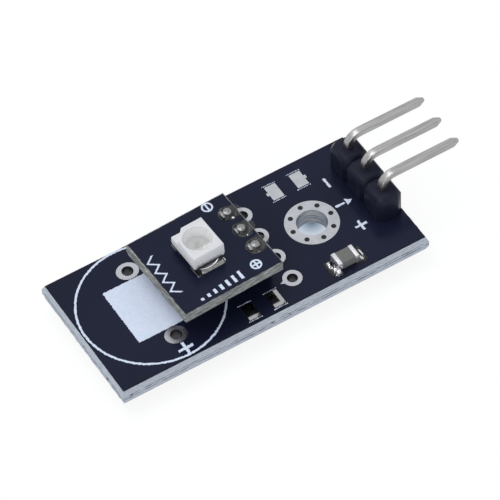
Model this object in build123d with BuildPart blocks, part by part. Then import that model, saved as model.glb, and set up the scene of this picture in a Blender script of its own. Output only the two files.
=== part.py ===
"""UV sensor module: a carrier board with a small photodiode board plugged on top of it.

Millimetres. The origin is the centre of the mounting hole, on the underside of the carrier board.
+X runs along the carrier towards the tips of the header pins, and +Z leaves the printed face.
"""

import os
from math import atan, cos, degrees, pi, sin

from build123d import *

os.makedirs("parts", exist_ok=True)

# Carrier board: the printed face between the scored edges, and the score along each edge
board_length = 28.16
board_width = 12.45
board_thickness = 1.6
hole_to_end = 6.86
score_depth = 0.5
score_flank = 0.2

# Coatings, the same on both boards, and the radius of a solder fillet against its height
mask_thickness = 0.03
mask_clearance = 0.05
mask_set_back = 0.06
tin_thickness = 0.05
barrel_wall = 0.05
print_thickness = 0.02
fillet_hollow = 1.35

# Holes and lands under a millimetre or so are drawn with this many sides, which keeps the part light
small_sides = 16
via_sides = 8
wire_sides = 6
ring_sides = 24

# Mounting hole and the small vias round it
mount_bore = 1.3
mount_land = 2.26
via_count = 8
via_circle = 1.79
via_bore = 0.16

# Spare row of four plated holes
pitch = 2.54
spare_x = -4.31
spare_y = -0.12
spare_count = 4
spare_bore = 0.45
spare_land = 0.82
nub_width = 1.1
nub_length = 0.3

# Printed disc outline, and the pair of plated holes of the part that could stand in it
disc_to_end = 6.23
disc_to_side = 0.205
disc_y = 0.09
disc_stroke = 0.22
pair_shift = 0.08
pair_to_disc = 2.23
pair_bore = 0.5
pair_land_long = 0.97
pair_land_short = 0.86
block_length = 5.54
block_to_pair = 0.88

# Pads of a chip part: two bare ones above, two below, and a pair that holds the capacitor
pad_length = 1.03
pad_width = 1.55
pad_spacing = 2.34
upper_pads_x = 0.3
upper_pads_to_side = 1.855
pad_nub_reach = 0.18
pad_nub_width = 0.34
lower_pads_x = -7.68
lower_pads_to_side = 1.275
capacitor_x = 0.14
capacitor_to_side = 1.425
bracket_gap = 0.13
bracket_length = 1.25
fine_stroke = 0.1

# Chip capacitor
capacitor_length = 2.0
capacitor_width = 1.25
capacitor_height = 0.85
end_wrap = 0.38
end_wall = 0.03
end_round = 0.06
capacitor_solder_rise = 0.62

# Three-pin header: octagonal cells with a bevelled top, square pins that turn over the board's end
header_count = 3
header_inset = 1.26
header_y = 0.72
header_width = 2.38
header_height = 2.54
nick_depth = 0.5
nick_half = 0.36
bevel_side = 0.26
bevel_drop = 0.45
pin_side = 0.64
pin_edge = 0.06
pin_rise = 1.26
pin_bend = 1.05
pin_reach = 12.84
pin_tip_length = 0.55
pin_tip_side = 0.3
header_tail = 1.3
header_bore = 0.5
header_land = 0.86
header_solder_foot = 0.84
header_solder_waist = 0.62
header_solder_neck = 0.5
header_solder_height = 0.95

# Link between the boards: a smaller header that lifts the sensor board
link_count = 3
link_pitch = 2.0
link_width = 2.0
link_height = 2.0
link_nick_depth = 0.35
link_nick_half = 0.28
link_pin_side = 0.5
link_pin_edge = 0.05
link_pin_point = 0.04
link_tail = 1.2
link_bore = 0.4
link_land = 0.7
link_solder_foot = 0.7
link_solder_waist = 0.52
link_solder_neck = 0.41
link_solder_height = 0.8
link_crown_foot = 0.66
link_crown_waist = 0.6
link_crown_neck = 0.4
link_crown_height = 0.26
link_pin_stand = 0.28
waist_share = 0.4

# Sensor board: hand soldered, a touch turned against the carrier
sensor_length = 9.2
sensor_width = 8.6
sensor_thickness = 1.0
sensor_x = -10.0
sensor_y = -0.04
sensor_turn = 2.2
sensor_mask_back = 0.08
link_row_x = 3.7
link_row_y = 0.32

# Marks on the sensor board, in its own frame
polarity_x = 2.72
minus_ring_y = 3.76
plus_ring_y = -3.3
ring_radius = 0.42
ring_stroke = 0.15
wave_x = -3.92
wave_length = 4.4
wave_count = 4
wave_swing = 0.36
wave_stroke = 0.22
scale_x = -0.75
scale_y = -3.46
scale_length = 4.4
scale_count = 7
scale_bar = 0.26
scale_low = 0.24
scale_high = 0.86

# Marks on the carrier
sign_length = 1.1
sign_stroke = 0.24
sign_x = 3.18
minus_y = 2.82
plus_y = -2.37
arrow_y = 0.3
arrow_length = 1.5
arrow_head = 0.62
arrow_point = 0.41
big_plus_shift = 0.06
big_plus_to_disc = 0.69
big_plus_length = 1.35
big_plus_stroke = 0.28

# Photodiode: a two-lead moulded package with a cup of clear resin
diode_x = -0.4
diode_y = 0.25
diode_length = 3.32
diode_width = 2.88
diode_height = 1.9
parting_height = 0.88
upper_draft = 1.5
lower_draft = 8.0
corner_cut = 1.0
corner_step = 0.5
cup_radius = 1.2
cup_draft = 9.0
lead_thickness = 0.15
lead_width = 2.2
lead_reach = 1.75
lead_foot = 0.8
lead_bend = 0.13
plate_gap = 0.3
plate_split = -0.55
chip_side = 0.45
chip_height = 0.2
bond_radius = 0.03
bond_rise = 0.16
bond_reach = 0.75
diode_pad_width = 2.5
diode_pad_length = 1.15
diode_pad_out = 0.22
diode_solder_rise = 0.5

# Amplifier and chip parts under the sensor board
amplifier_x = 0.3
amplifier_y = 0.1
amplifier_length = 2.9
amplifier_width = 1.6
amplifier_thickness = 1.0
amplifier_stand = 0.1
amplifier_draft = 8.0
amplifier_pitch = 0.95
amplifier_lead_width = 0.4
amplifier_lead_thickness = 0.15
amplifier_lead_span = 2.8
small_chip_length = 1.6
small_chip_width = 0.8
small_chip_height = 0.5
small_chip_wrap = 0.3
small_chip_x = -2.9
small_chip_step = 1.7
small_pad_length = 0.75
small_pad_width = 0.85
small_pad_spacing = 1.45

# Places that keep their distance to the carrier's ends and sides
board_centre = hole_to_end - board_length / 2
half_width = board_width / 2
disc_x = hole_to_end - board_length + disc_to_end
disc_radius = half_width - disc_to_side
pair_reach = disc_radius - pair_to_disc
block_width = 2 * (pair_reach - block_to_pair)
big_plus = (disc_x + big_plus_shift, disc_y - disc_radius + big_plus_to_disc)
upper_pads = (upper_pads_x, half_width - upper_pads_to_side)
lower_pads = (lower_pads_x, lower_pads_to_side - half_width)
capacitor_spot = (capacitor_x, capacitor_to_side - half_width)

# Levels of the carrier
laminate_bottom = mask_thickness
laminate_top = board_thickness - mask_thickness
laminate_thickness = laminate_top - laminate_bottom
seat = laminate_top + tin_thickness
under_seat = laminate_bottom - tin_thickness

# Levels of the sensor board, which stands on the link's housing with its own lands
sensor_under_seat = seat + link_height
sensor_laminate_bottom = sensor_under_seat + tin_thickness
sensor_laminate_thickness = sensor_thickness - 2 * mask_thickness
sensor_laminate_top = sensor_laminate_bottom + sensor_laminate_thickness
sensor_seat = sensor_laminate_top + tin_thickness
sensor_plane = Plane((sensor_x, sensor_y, 0)).rotated((0, 0, sensor_turn))


def row(x, y, count, step):
    """Spots of a row along Y, centred on (x, y), the first one farthest up."""
    return [(x, y + (0.5 * (count - 1) - i) * step) for i in range(count)]


def on_sensor(spots):
    """The same spots, given in the sensor board's frame, as spots of the carrier."""
    points = [sensor_plane.from_local_coords(Vector(x, y, 0)) for x, y in spots]
    return [(point.X, point.Y) for point in points]


def couple(spot, spacing):
    """The two spots of a chip part's pads along X."""
    return [(spot[0] - spacing / 2, spot[1]), (spot[0] + spacing / 2, spot[1])]


spare_spots = row(spare_x, spare_y, spare_count, pitch)
pair_spots = row(disc_x + pair_shift, disc_y, 2, 2 * pair_reach)
header_x = hole_to_end - header_inset
header_spots = row(header_x, header_y, header_count, pitch)
link_local_spots = row(link_row_x, link_row_y, link_count, link_pitch)
link_spots = on_sensor(link_local_spots)
bare_pad_spots = couple(upper_pads, pad_spacing) + couple(lower_pads, pad_spacing)
capacitor_pad_spots = couple(capacitor_spot, pad_spacing)
chip_pad_spots = bare_pad_spots + capacitor_pad_spots
pad_nub_spots = couple(upper_pads, pad_spacing + pad_length + pad_nub_reach)


def save(piece, name):
    """Label a finished piece and write its STEP file."""
    piece.part.label = name
    export_step(piece.part, f"parts/{name}.step")


def small_round(radius, mode=Mode.ADD):
    """Outline of a small round hole or land."""
    RegularPolygon(radius, small_sides, mode=mode)


def oval(long_half, short_half, mode=Mode.ADD):
    """Outline of the long land round each hole of the pair."""
    angles = [2 * pi * i / small_sides for i in range(small_sides)]
    Polygon(*[(long_half * cos(a), short_half * sin(a)) for a in angles], align=None, mode=mode)


def pin_section(side, edge):
    """Square wire with its four edges eased."""
    with BuildSketch() as section:
        Rectangle(side, side)
        chamfer(section.vertices(), edge)
    return section.sketch


header_pin_section = pin_section(pin_side, pin_edge)
header_tip_section = pin_section(pin_tip_side, pin_edge)
link_pin_section = pin_section(link_pin_side, link_pin_edge)


def draw_drilled_lands(growth, mode):
    """Every land round a plated hole of the carrier, grown by a clearance."""
    Circle(mount_land + growth, mode=mode)
    with Locations(*spare_spots):
        small_round(spare_land + growth, mode)
    with Locations(*pair_spots):
        oval(pair_land_long + growth, pair_land_short + growth, mode)
    with Locations(*header_spots):
        small_round(header_land + growth, mode)
    with Locations(*link_spots):
        small_round(link_land + growth, mode)


def draw_nubs(growth, mode):
    """The pointed bit of trace that shows where it leaves a spare land, on its left."""
    point = spare_land + nub_length + growth
    root = nub_width / 2 + growth
    with Locations(*spare_spots):
        Polygon((0, root), (-point, 0), (0, -root), align=None, mode=mode)


def draw_pad_nubs(growth, mode):
    """The bit of trace that leaves each upper pad on its outer side."""
    with Locations(*pad_nub_spots):
        Rectangle(pad_nub_reach + 2 * growth, pad_nub_width + 2 * growth, mode=mode)


def draw_chip_pads(growth, mode):
    """The pads of the three chip places on the carrier, and their bits of trace."""
    with Locations(*chip_pad_spots):
        Rectangle(pad_length + 2 * growth, pad_width + 2 * growth, mode=mode)
    draw_pad_nubs(growth, mode)


# Carrier laminate: the web that was snapped, a tapered flank of the score on each side, the holes
with BuildPart() as main_board:
    with BuildSketch(Plane.XY.offset(laminate_bottom + score_depth)):
        with Locations((board_centre, 0)):
            Rectangle(board_length + 2 * score_flank, board_width + 2 * score_flank)
    extrude(amount=laminate_thickness - 2 * score_depth)
    flank_angle = degrees(atan(score_flank / score_depth))
    extrude(main_board.faces().sort_by(Axis.Z)[-1], amount=score_depth, taper=flank_angle)
    extrude(main_board.faces().sort_by(Axis.Z)[0], amount=score_depth, taper=flank_angle)
    with BuildSketch(Plane.XY.offset(laminate_bottom)):
        RegularPolygon(mount_bore + barrel_wall, ring_sides)
        with PolarLocations(via_circle, via_count):
            RegularPolygon(via_bore, via_sides)
        with Locations(*spare_spots):
            small_round(spare_bore + barrel_wall)
        with Locations(*pair_spots):
            small_round(pair_bore + barrel_wall)
        with Locations(*header_spots):
            small_round(header_bore + barrel_wall)
    with BuildSketch(sensor_plane.offset(laminate_bottom)):
        with Locations(*link_local_spots):
            small_round(link_bore + barrel_wall)
    extrude(amount=laminate_thickness, mode=Mode.SUBTRACT)
save(main_board, "main_board")

# Solder mask of the printed face, open over every land and pad
with BuildPart() as main_mask_top:
    with BuildSketch(Plane.XY.offset(laminate_top)):
        with Locations((board_centre, 0)):
            Rectangle(board_length - 2 * mask_set_back, board_width - 2 * mask_set_back)
        draw_drilled_lands(mask_clearance, Mode.SUBTRACT)
        draw_nubs(mask_clearance, Mode.SUBTRACT)
        draw_chip_pads(mask_clearance, Mode.SUBTRACT)
    extrude(amount=mask_thickness)
save(main_mask_top, "main_mask_top")

# Solder mask of the underside, open over the drilled lands only
with BuildPart() as main_mask_bottom:
    with BuildSketch(Plane.XY):
        with Locations((board_centre, 0)):
            Rectangle(board_length - 2 * mask_set_back, board_width - 2 * mask_set_back)
        draw_drilled_lands(mask_clearance, Mode.SUBTRACT)
    extrude(amount=mask_thickness)
save(main_mask_bottom, "main_mask_bottom")

# White print of the carrier
with BuildPart() as main_print:
    with BuildSketch(Plane.XY.offset(board_thickness)):
        with Locations((disc_x, disc_y)):
            Circle(disc_radius + disc_stroke / 2)
            Circle(disc_radius - disc_stroke / 2, mode=Mode.SUBTRACT)
            Rectangle(block_length, block_width)
        with Locations(big_plus):
            Rectangle(big_plus_length, big_plus_stroke)
            Rectangle(big_plus_stroke, big_plus_length)
        with Locations((sign_x, minus_y), (sign_x, plus_y)):
            Rectangle(sign_stroke, sign_length)
        with Locations((sign_x, plus_y)):
            Rectangle(sign_length, sign_stroke)
        with Locations((sign_x - arrow_head / 2, arrow_y)):
            Rectangle(arrow_length - arrow_head, sign_stroke)
        with Locations((sign_x + (arrow_length - arrow_head) / 2, arrow_y)):
            RegularPolygon(arrow_point, 3)
        for x, y in bare_pad_spots:
            with Locations((x, y + pad_width / 2 + bracket_gap), (x, y - pad_width / 2 - bracket_gap)):
                Rectangle(bracket_length, fine_stroke)
        draw_drilled_lands(mask_clearance, Mode.SUBTRACT)
        draw_nubs(mask_clearance, Mode.SUBTRACT)
        draw_chip_pads(mask_clearance, Mode.SUBTRACT)
    extrude(amount=print_thickness)
save(main_print, "main_print")

# Plated wall and lands of the mounting hole, with the ring of vias
with BuildPart() as mounting_eyelet:
    with BuildSketch(Plane.XY.offset(laminate_bottom)):
        RegularPolygon(mount_bore + barrel_wall, ring_sides)
        Circle(mount_bore, mode=Mode.SUBTRACT)
    extrude(amount=laminate_thickness)
    for level in (under_seat, laminate_top):
        with BuildSketch(Plane.XY.offset(level)):
            Circle(mount_land)
            Circle(mount_bore, mode=Mode.SUBTRACT)
            with PolarLocations(via_circle, via_count):
                RegularPolygon(via_bore, via_sides, mode=Mode.SUBTRACT)
        extrude(amount=tin_thickness)
save(mounting_eyelet, "mounting_eyelet")


def save_plated_holes(name, plane, spots, bore, land, bottom, thickness):
    """Round lands on both faces of a board and the plated wall between them, one set per spot."""
    with BuildPart() as eyelets:
        for level, height, radius in (
            (bottom - tin_thickness, tin_thickness, land),
            (bottom, thickness, bore + barrel_wall),
            (bottom + thickness, tin_thickness, land),
        ):
            with BuildSketch(plane.offset(level)):
                with Locations(*spots):
                    small_round(radius)
                    small_round(bore, Mode.SUBTRACT)
            extrude(amount=height)
    save(eyelets, name)


carrier_levels = (laminate_bottom, laminate_thickness)
sensor_levels = (sensor_laminate_bottom, sensor_laminate_thickness)
save_plated_holes("header_plated_holes", Plane.XY, header_spots, header_bore, header_land, *carrier_levels)
save_plated_holes("link_plated_holes", sensor_plane, link_local_spots, link_bore, link_land, *carrier_levels)
save_plated_holes("sensor_plated_holes", sensor_plane, link_local_spots, link_bore, link_land, *sensor_levels)

# Spare row: round lands, each with its nub of trace on the printed face
with BuildPart() as spare_plated_holes:
    for level, height, radius in (
        (under_seat, tin_thickness, spare_land),
        (laminate_bottom, laminate_thickness, spare_bore + barrel_wall),
        (laminate_top, tin_thickness, spare_land),
    ):
        with BuildSketch(Plane.XY.offset(level)):
            with Locations(*spare_spots):
                small_round(radius)
            if level == laminate_top:
                draw_nubs(0, Mode.ADD)
            with Locations(*spare_spots):
                Circle(spare_bore, mode=Mode.SUBTRACT)
        extrude(amount=height)
save(spare_plated_holes, "spare_plated_holes")

# Pair of plated holes inside the disc, with long lands
with BuildPart() as pair_plated_holes:
    for level, height, long_half, short_half in (
        (under_seat, tin_thickness, pair_land_long, pair_land_short),
        (laminate_bottom, laminate_thickness, pair_bore + barrel_wall, pair_bore + barrel_wall),
        (laminate_top, tin_thickness, pair_land_long, pair_land_short),
    ):
        with BuildSketch(Plane.XY.offset(level)):
            with Locations(*pair_spots):
                oval(long_half, short_half)
                small_round(pair_bore, Mode.SUBTRACT)
        extrude(amount=height)
save(pair_plated_holes, "pair_plated_holes")


def save_pads(name, centre, nubs=False):
    """The two flat tinned pads of one chip place on the carrier."""
    with BuildPart() as pads:
        with BuildSketch(Plane.XY.offset(laminate_top)):
            with Locations(*couple(centre, pad_spacing)):
                Rectangle(pad_length, pad_width)
            if nubs:
                draw_pad_nubs(0, Mode.ADD)
        extrude(amount=tin_thickness)
    save(pads, name)


save_pads("upper_spare_pads", upper_pads, nubs=True)
save_pads("lower_spare_pads", lower_pads)
save_pads("capacitor_pads", capacitor_spot)


def chip_body(length, width, height):
    """Ceramic block of a chip part, standing on z = 0 by the thickness of its ends."""
    with BuildPart() as body:
        with BuildSketch(Plane.XY.offset(end_wall)):
            Rectangle(length - 2 * end_wall, width - 2 * end_wall)
        extrude(amount=height - 2 * end_wall)
    return body.part


def chip_ends(body, length, width, height, wrap):
    """The two metal ends that wrap a chip part's block."""
    with BuildPart() as ends:
        with BuildSketch():
            with Locations(*couple((0, 0), length - wrap)):
                Rectangle(wrap, width)
        extrude(amount=height)
        outer_edges = ends.edges().filter_by(Axis.Y).group_by(Axis.X)
        chamfer(outer_edges[0] + outer_edges[-1], end_round)
        add(body, mode=Mode.SUBTRACT)
    return ends.part


capacitor_size = (capacitor_length, capacitor_width, capacitor_height)
capacitor_block = chip_body(*capacitor_size)
capacitor_caps = chip_ends(capacitor_block, *capacitor_size, end_wrap)
capacitor_place = Location((capacitor_spot[0], capacitor_spot[1], seat))

with BuildPart() as capacitor_body:
    with Locations(capacitor_place):
        add(capacitor_block)
save(capacitor_body, "capacitor_body")

with BuildPart() as capacitor_ends:
    with Locations(capacitor_place):
        add(capacitor_caps)
save(capacitor_ends, "capacitor_ends")

# Solder at both ends of the capacitor: a hollow fillet from the end face down to the pad's rim
capacitor_solder_foot = (pad_spacing + pad_length) / 2
with BuildPart() as capacitor_solder:
    with BuildSketch(Plane.XZ.offset(-capacitor_spot[1] - capacitor_width / 2)):
        with BuildLine():
            end_face = (capacitor_spot[0] + capacitor_length / 2, seat + capacitor_solder_rise)
            corner = (capacitor_spot[0] + capacitor_length / 2, seat)
            toe = (capacitor_spot[0] + capacitor_solder_foot, seat)
            Polyline(end_face, corner, toe)
            RadiusArc(toe, end_face, capacitor_solder_rise * fillet_hollow)
        make_face()
    extrude(amount=capacitor_width)
    mirror(about=Plane.YZ.offset(capacitor_spot[0]))
    add(capacitor_ends.part, mode=Mode.SUBTRACT)
save(capacitor_solder, "capacitor_solder")


def draw_cells(spots, step, width, nick_x, nick_y):
    """A row of octagonal cells along Y: one bar with a diamond nicked out at each cell border."""
    for x, y in spots:
        with Locations((x, y)):
            Rectangle(width, step)
    for x, y in spots:
        with Locations(*[(x + a * width / 2, y + b * step / 2) for a in (-1, 1) for b in (-1, 1)]):
            Polygon((-nick_x, 0), (0, nick_y), (nick_x, 0), (0, -nick_y), mode=Mode.SUBTRACT)


# Header housing: three cells in one bar, the top of each one bevelled on all its sides
header_top = seat + header_height
bevel_angle = degrees(atan(bevel_side / bevel_drop))
with BuildPart() as header_housing:
    with BuildSketch(Plane.XY.offset(seat)):
        draw_cells(header_spots, pitch, header_width, nick_depth, nick_half)
    extrude(amount=header_height - bevel_drop)
    for spot in header_spots:
        with BuildSketch(Plane.XY.offset(header_top - bevel_drop)):
            draw_cells([spot], pitch, header_width, nick_depth, nick_half)
        extrude(amount=bevel_drop, taper=bevel_angle)
    with BuildSketch(Plane.XY.offset(seat)):
        with Locations(*header_spots):
            add(header_pin_section)
    extrude(amount=header_height, mode=Mode.SUBTRACT)
save(header_housing, "header_housing")

# Header pins: tail under the board, straight through the housing, over a bend and out past the end
pin_run = header_top + pin_rise
for number, (x, y) in enumerate(header_spots, start=1):
    with BuildPart() as header_pin:
        with BuildLine() as centre_line:
            FilletPolyline(
                (x, y, -header_tail + pin_tip_length),
                (x, y, pin_run),
                (pin_reach - pin_tip_length, y, pin_run),
                radius=pin_bend,
            )
        with BuildSketch(Plane(centre_line.line @ 0, z_dir=(0, 0, 1))):
            add(header_pin_section)
        sweep()
        for point, direction in ((centre_line.line @ 0, (0, 0, -1)), (centre_line.line @ 1, (1, 0, 0))):
            end_plane = Plane(point, z_dir=direction)
            with BuildSketch(end_plane):
                add(header_pin_section)
            with BuildSketch(end_plane.offset(pin_tip_length)):
                add(header_tip_section)
            loft()
    save(header_pin, f"header_pin_{number}")


def save_solder(name, planes, section, through, bore, foot, waist, neck, height):
    """Soldered pins, each along its plane: the plug in the plated hole and the fillet on its land."""
    with BuildPart() as joints:
        for plane in planes:
            with BuildSketch(plane.offset(-through)):
                small_round(bore)
            extrude(amount=through)
            waist_level = height * waist_share
            rings = [(0, foot), (waist_level, waist), (height, neck)]
            for (low_level, low), (high_level, high) in zip(rings, rings[1:]):
                with BuildSketch(plane.offset(low_level)):
                    small_round(low)
                with BuildSketch(plane.offset(high_level)):
                    small_round(high)
                loft()
            with BuildSketch(plane.offset(-through)):
                add(section)
            extrude(amount=through + height, mode=Mode.SUBTRACT)
    save(joints, name)


save_solder(
    "header_solder",
    [Plane((x, y, under_seat), z_dir=(0, 0, -1)) for x, y in header_spots],
    header_pin_section,
    seat - under_seat,
    header_bore,
    header_solder_foot,
    header_solder_waist,
    header_solder_neck,
    header_solder_height,
)

# Link housing and its pins, square to the sensor board
with BuildPart() as link_housing:
    with BuildSketch(sensor_plane.offset(seat)):
        draw_cells(link_local_spots, link_pitch, link_width, link_nick_depth, link_nick_half)
        with Locations(*link_local_spots):
            add(link_pin_section, mode=Mode.SUBTRACT)
    extrude(amount=link_height)
save(link_housing, "link_housing")

for number, (x, y) in enumerate(link_local_spots, start=1):
    with BuildPart() as link_pin:
        with BuildSketch(sensor_plane.offset(-link_tail)):
            with Locations((x, y)):
                add(link_pin_section)
        extrude(amount=link_tail + sensor_seat + link_pin_stand)
        pin_ends = link_pin.faces().filter_by(Axis.Z)
        chamfer(pin_ends.edges(), link_pin_point)
    save(link_pin, f"link_pin_{number}")

save_solder(
    "link_solder_bottom",
    [Plane((x, y, under_seat), x_dir=sensor_plane.x_dir, z_dir=(0, 0, -1)) for x, y in link_spots],
    link_pin_section,
    seat - under_seat,
    link_bore,
    link_solder_foot,
    link_solder_waist,
    link_solder_neck,
    link_solder_height,
)
save_solder(
    "link_solder_top",
    [Plane((x, y, sensor_seat), x_dir=sensor_plane.x_dir) for x, y in link_spots],
    link_pin_section,
    sensor_seat - sensor_under_seat,
    link_bore,
    link_crown_foot,
    link_crown_waist,
    link_crown_neck,
    link_crown_height,
)

# Sensor board laminate
with BuildPart() as sensor_board:
    with BuildSketch(sensor_plane.offset(sensor_laminate_bottom)):
        Rectangle(sensor_length, sensor_width)
        with Locations(*link_local_spots):
            small_round(link_bore + barrel_wall, Mode.SUBTRACT)
    extrude(amount=sensor_laminate_thickness)
save(sensor_board, "sensor_board")

# Pads of the photodiode and of the parts underneath, in the sensor board's frame
diode_pad_reach = lead_reach + diode_pad_out - diode_pad_length / 2
diode_pad_spots = row(diode_x, diode_y, 2, 2 * diode_pad_reach)
small_chip_spots = [(small_chip_x, amplifier_y + i * small_chip_step) for i in (-1, 0, 1)]
amplifier_lead_rows = [
    (amplifier_x - amplifier_pitch, amplifier_y + amplifier_lead_span / 2, 1),
    (amplifier_x + amplifier_pitch, amplifier_y + amplifier_lead_span / 2, 1),
    (amplifier_x - amplifier_pitch, amplifier_y - amplifier_lead_span / 2, -1),
    (amplifier_x, amplifier_y - amplifier_lead_span / 2, -1),
    (amplifier_x + amplifier_pitch, amplifier_y - amplifier_lead_span / 2, -1),
]


def draw_diode_pads(growth, mode):
    """The two pads under the photodiode's leads."""
    with Locations(*diode_pad_spots):
        Rectangle(diode_pad_width + 2 * growth, diode_pad_length + 2 * growth, mode=mode)


def draw_link_lands(growth, mode):
    """The lands of the link's pins on the sensor board."""
    with Locations(*link_local_spots):
        small_round(link_land + growth, mode)


def draw_under_pads(growth, mode):
    """Pads of the amplifier's five leads and of the three chip parts, all under the board."""
    for x, y, side in amplifier_lead_rows:
        with Locations((x, y)):
            Rectangle(amplifier_lead_width + 2 * growth, small_pad_width + 2 * growth, mode=mode)
    for x, y in small_chip_spots:
        with Locations(*couple((x, y), small_pad_spacing)):
            Rectangle(small_pad_length + 2 * growth, small_pad_width + 2 * growth, mode=mode)


with BuildPart() as sensor_mask_top:
    with BuildSketch(sensor_plane.offset(sensor_laminate_top)):
        Rectangle(sensor_length - 2 * sensor_mask_back, sensor_width - 2 * sensor_mask_back)
        draw_link_lands(mask_clearance, Mode.SUBTRACT)
        draw_diode_pads(mask_clearance, Mode.SUBTRACT)
    extrude(amount=mask_thickness)
save(sensor_mask_top, "sensor_mask_top")

with BuildPart() as sensor_mask_bottom:
    with BuildSketch(sensor_plane.offset(sensor_laminate_bottom - mask_thickness)):
        Rectangle(sensor_length - 2 * sensor_mask_back, sensor_width - 2 * sensor_mask_back)
        draw_link_lands(mask_clearance, Mode.SUBTRACT)
        draw_under_pads(mask_clearance, Mode.SUBTRACT)
    extrude(amount=mask_thickness)
save(sensor_mask_bottom, "sensor_mask_bottom")

with BuildPart() as sensor_diode_pads:
    with BuildSketch(sensor_plane.offset(sensor_laminate_top)):
        draw_diode_pads(0, Mode.ADD)
    extrude(amount=tin_thickness)
save(sensor_diode_pads, "sensor_diode_pads")

with BuildPart() as sensor_under_pads:
    with BuildSketch(sensor_plane.offset(sensor_under_seat)):
        draw_under_pads(0, Mode.ADD)
    extrude(amount=tin_thickness)
save(sensor_under_pads, "sensor_under_pads")

# White print of the sensor board: polarity rings, a light wave along one edge, a rising scale
sensor_print_level = sensor_laminate_top + mask_thickness
with BuildPart() as sensor_print:
    with BuildSketch(sensor_plane.offset(sensor_print_level)):
        with Locations((polarity_x, minus_ring_y), (polarity_x, plus_ring_y)):
            RegularPolygon(ring_radius + ring_stroke / 2, ring_sides)
            RegularPolygon(ring_radius - ring_stroke / 2, ring_sides, mode=Mode.SUBTRACT)
            Rectangle(ring_stroke, 2 * ring_radius)
        with Locations((polarity_x, plus_ring_y)):
            Rectangle(2 * ring_radius, ring_stroke)
        turns = [
            (wave_x + wave_swing * (-1) ** i, wave_length * (i / (2 * wave_count) - 0.5))
            for i in range(2 * wave_count + 1)
        ]
        right_side = [(x + wave_stroke / 2, y) for x, y in turns]
        left_side = [(x - wave_stroke / 2, y) for x, y in reversed(turns)]
        Polygon(*right_side, *left_side, align=None)
        for i in range(scale_count):
            bar_height = scale_low + (scale_high - scale_low) * i / (scale_count - 1)
            bar_x = scale_x + (i - (scale_count - 1) / 2) * (scale_length / scale_count)
            with Locations((bar_x, scale_y - (scale_high - bar_height) / 2)):
                Rectangle(scale_bar, bar_height)
    extrude(amount=print_thickness)
save(sensor_print, "sensor_print")

# Photodiode leads: a plate in the cup's floor, out at the parting line, down the side and under
diode_spot = sensor_plane.from_local_coords(Vector(diode_x, diode_y, sensor_seat))
diode_plane = Plane(diode_spot, x_dir=sensor_plane.x_dir)
diode_side_plane = Plane(diode_plane.origin, x_dir=diode_plane.y_dir, z_dir=diode_plane.x_dir)
plate_level = parting_height


def save_diode_lead(name, side, plate_end):
    """One lead, swept as a flat strip along its folded line in the package's lengthwise plane."""
    outer = side * (lead_reach - lead_thickness / 2)
    with BuildPart() as lead:
        with BuildLine(diode_side_plane) as strip_line:
            FilletPolyline(
                (plate_end, plate_level),
                (outer, plate_level),
                (outer, lead_thickness / 2),
                (outer - side * lead_foot, lead_thickness / 2),
                radius=lead_bend,
            )
        with BuildSketch(Plane(strip_line.line @ 0, x_dir=diode_plane.x_dir, z_dir=strip_line.line % 0)):
            Rectangle(lead_width, lead_thickness)
        sweep()
    save(lead, name)
    return lead.part


anode_lead = save_diode_lead("photodiode_anode_lead", -1, plate_split)
cathode_lead = save_diode_lead("photodiode_cathode_lead", 1, plate_split + plate_gap)

# Chip on the cathode's plate, and the wire that bonds it to the anode's
plate_top = plate_level + lead_thickness / 2
chip_top = plate_top + chip_height
with BuildPart() as photodiode_chip:
    with BuildSketch(diode_plane.offset(plate_top)):
        Rectangle(chip_side, chip_side)
    extrude(amount=chip_height)
save(photodiode_chip, "photodiode_chip")

with BuildPart() as photodiode_bond_wire:
    with BuildLine(diode_side_plane) as bond_line:
        ThreePointArc((0, chip_top), (-bond_reach / 2, chip_top + bond_rise), (-bond_reach, plate_top))
    with BuildSketch(Plane(bond_line.line @ 0, z_dir=bond_line.line % 0)):
        RegularPolygon(bond_radius, wire_sides)
    sweep()
    with BuildSketch(diode_plane.offset(plate_top - bond_rise)):
        Rectangle(diode_width, diode_length)
    extrude(amount=bond_rise, mode=Mode.SUBTRACT)
    add(photodiode_chip.part, mode=Mode.SUBTRACT)
save(photodiode_bond_wire, "photodiode_bond_wire")

# Cup of resin, flush with the package's top
cup_depth = diode_height - plate_top
with BuildPart() as photodiode_resin:
    with BuildSketch(diode_plane.offset(diode_height)):
        Circle(cup_radius)
    extrude(amount=-cup_depth, taper=cup_draft)
    add(photodiode_chip.part, mode=Mode.SUBTRACT)
    add(photodiode_bond_wire.part, mode=Mode.SUBTRACT)
save(photodiode_resin, "photodiode_resin")

# White package: drafted both ways from the parting line, one top corner stepped down, the cup
with BuildPart() as photodiode_housing:
    with BuildSketch(diode_plane.offset(parting_height)):
        Rectangle(diode_width, diode_length)
    extrude(amount=diode_height - parting_height, taper=upper_draft)
    with BuildSketch(diode_plane.offset(parting_height)):
        Rectangle(diode_width, diode_length)
    extrude(amount=lead_thickness - parting_height, taper=lower_draft)
    with BuildSketch(diode_plane.offset(diode_height - corner_step)):
        with Locations((-diode_width / 2, diode_length / 2)):
            Rectangle(corner_cut * 2 ** 0.5, corner_cut * 2 ** 0.5, rotation=45)
    extrude(amount=corner_step, mode=Mode.SUBTRACT)
    with BuildSketch(diode_plane.offset(diode_height)):
        Circle(cup_radius)
    extrude(amount=-cup_depth, taper=cup_draft, mode=Mode.SUBTRACT)
    add([anode_lead, cathode_lead], mode=Mode.SUBTRACT)
save(photodiode_housing, "photodiode_housing")

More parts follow.
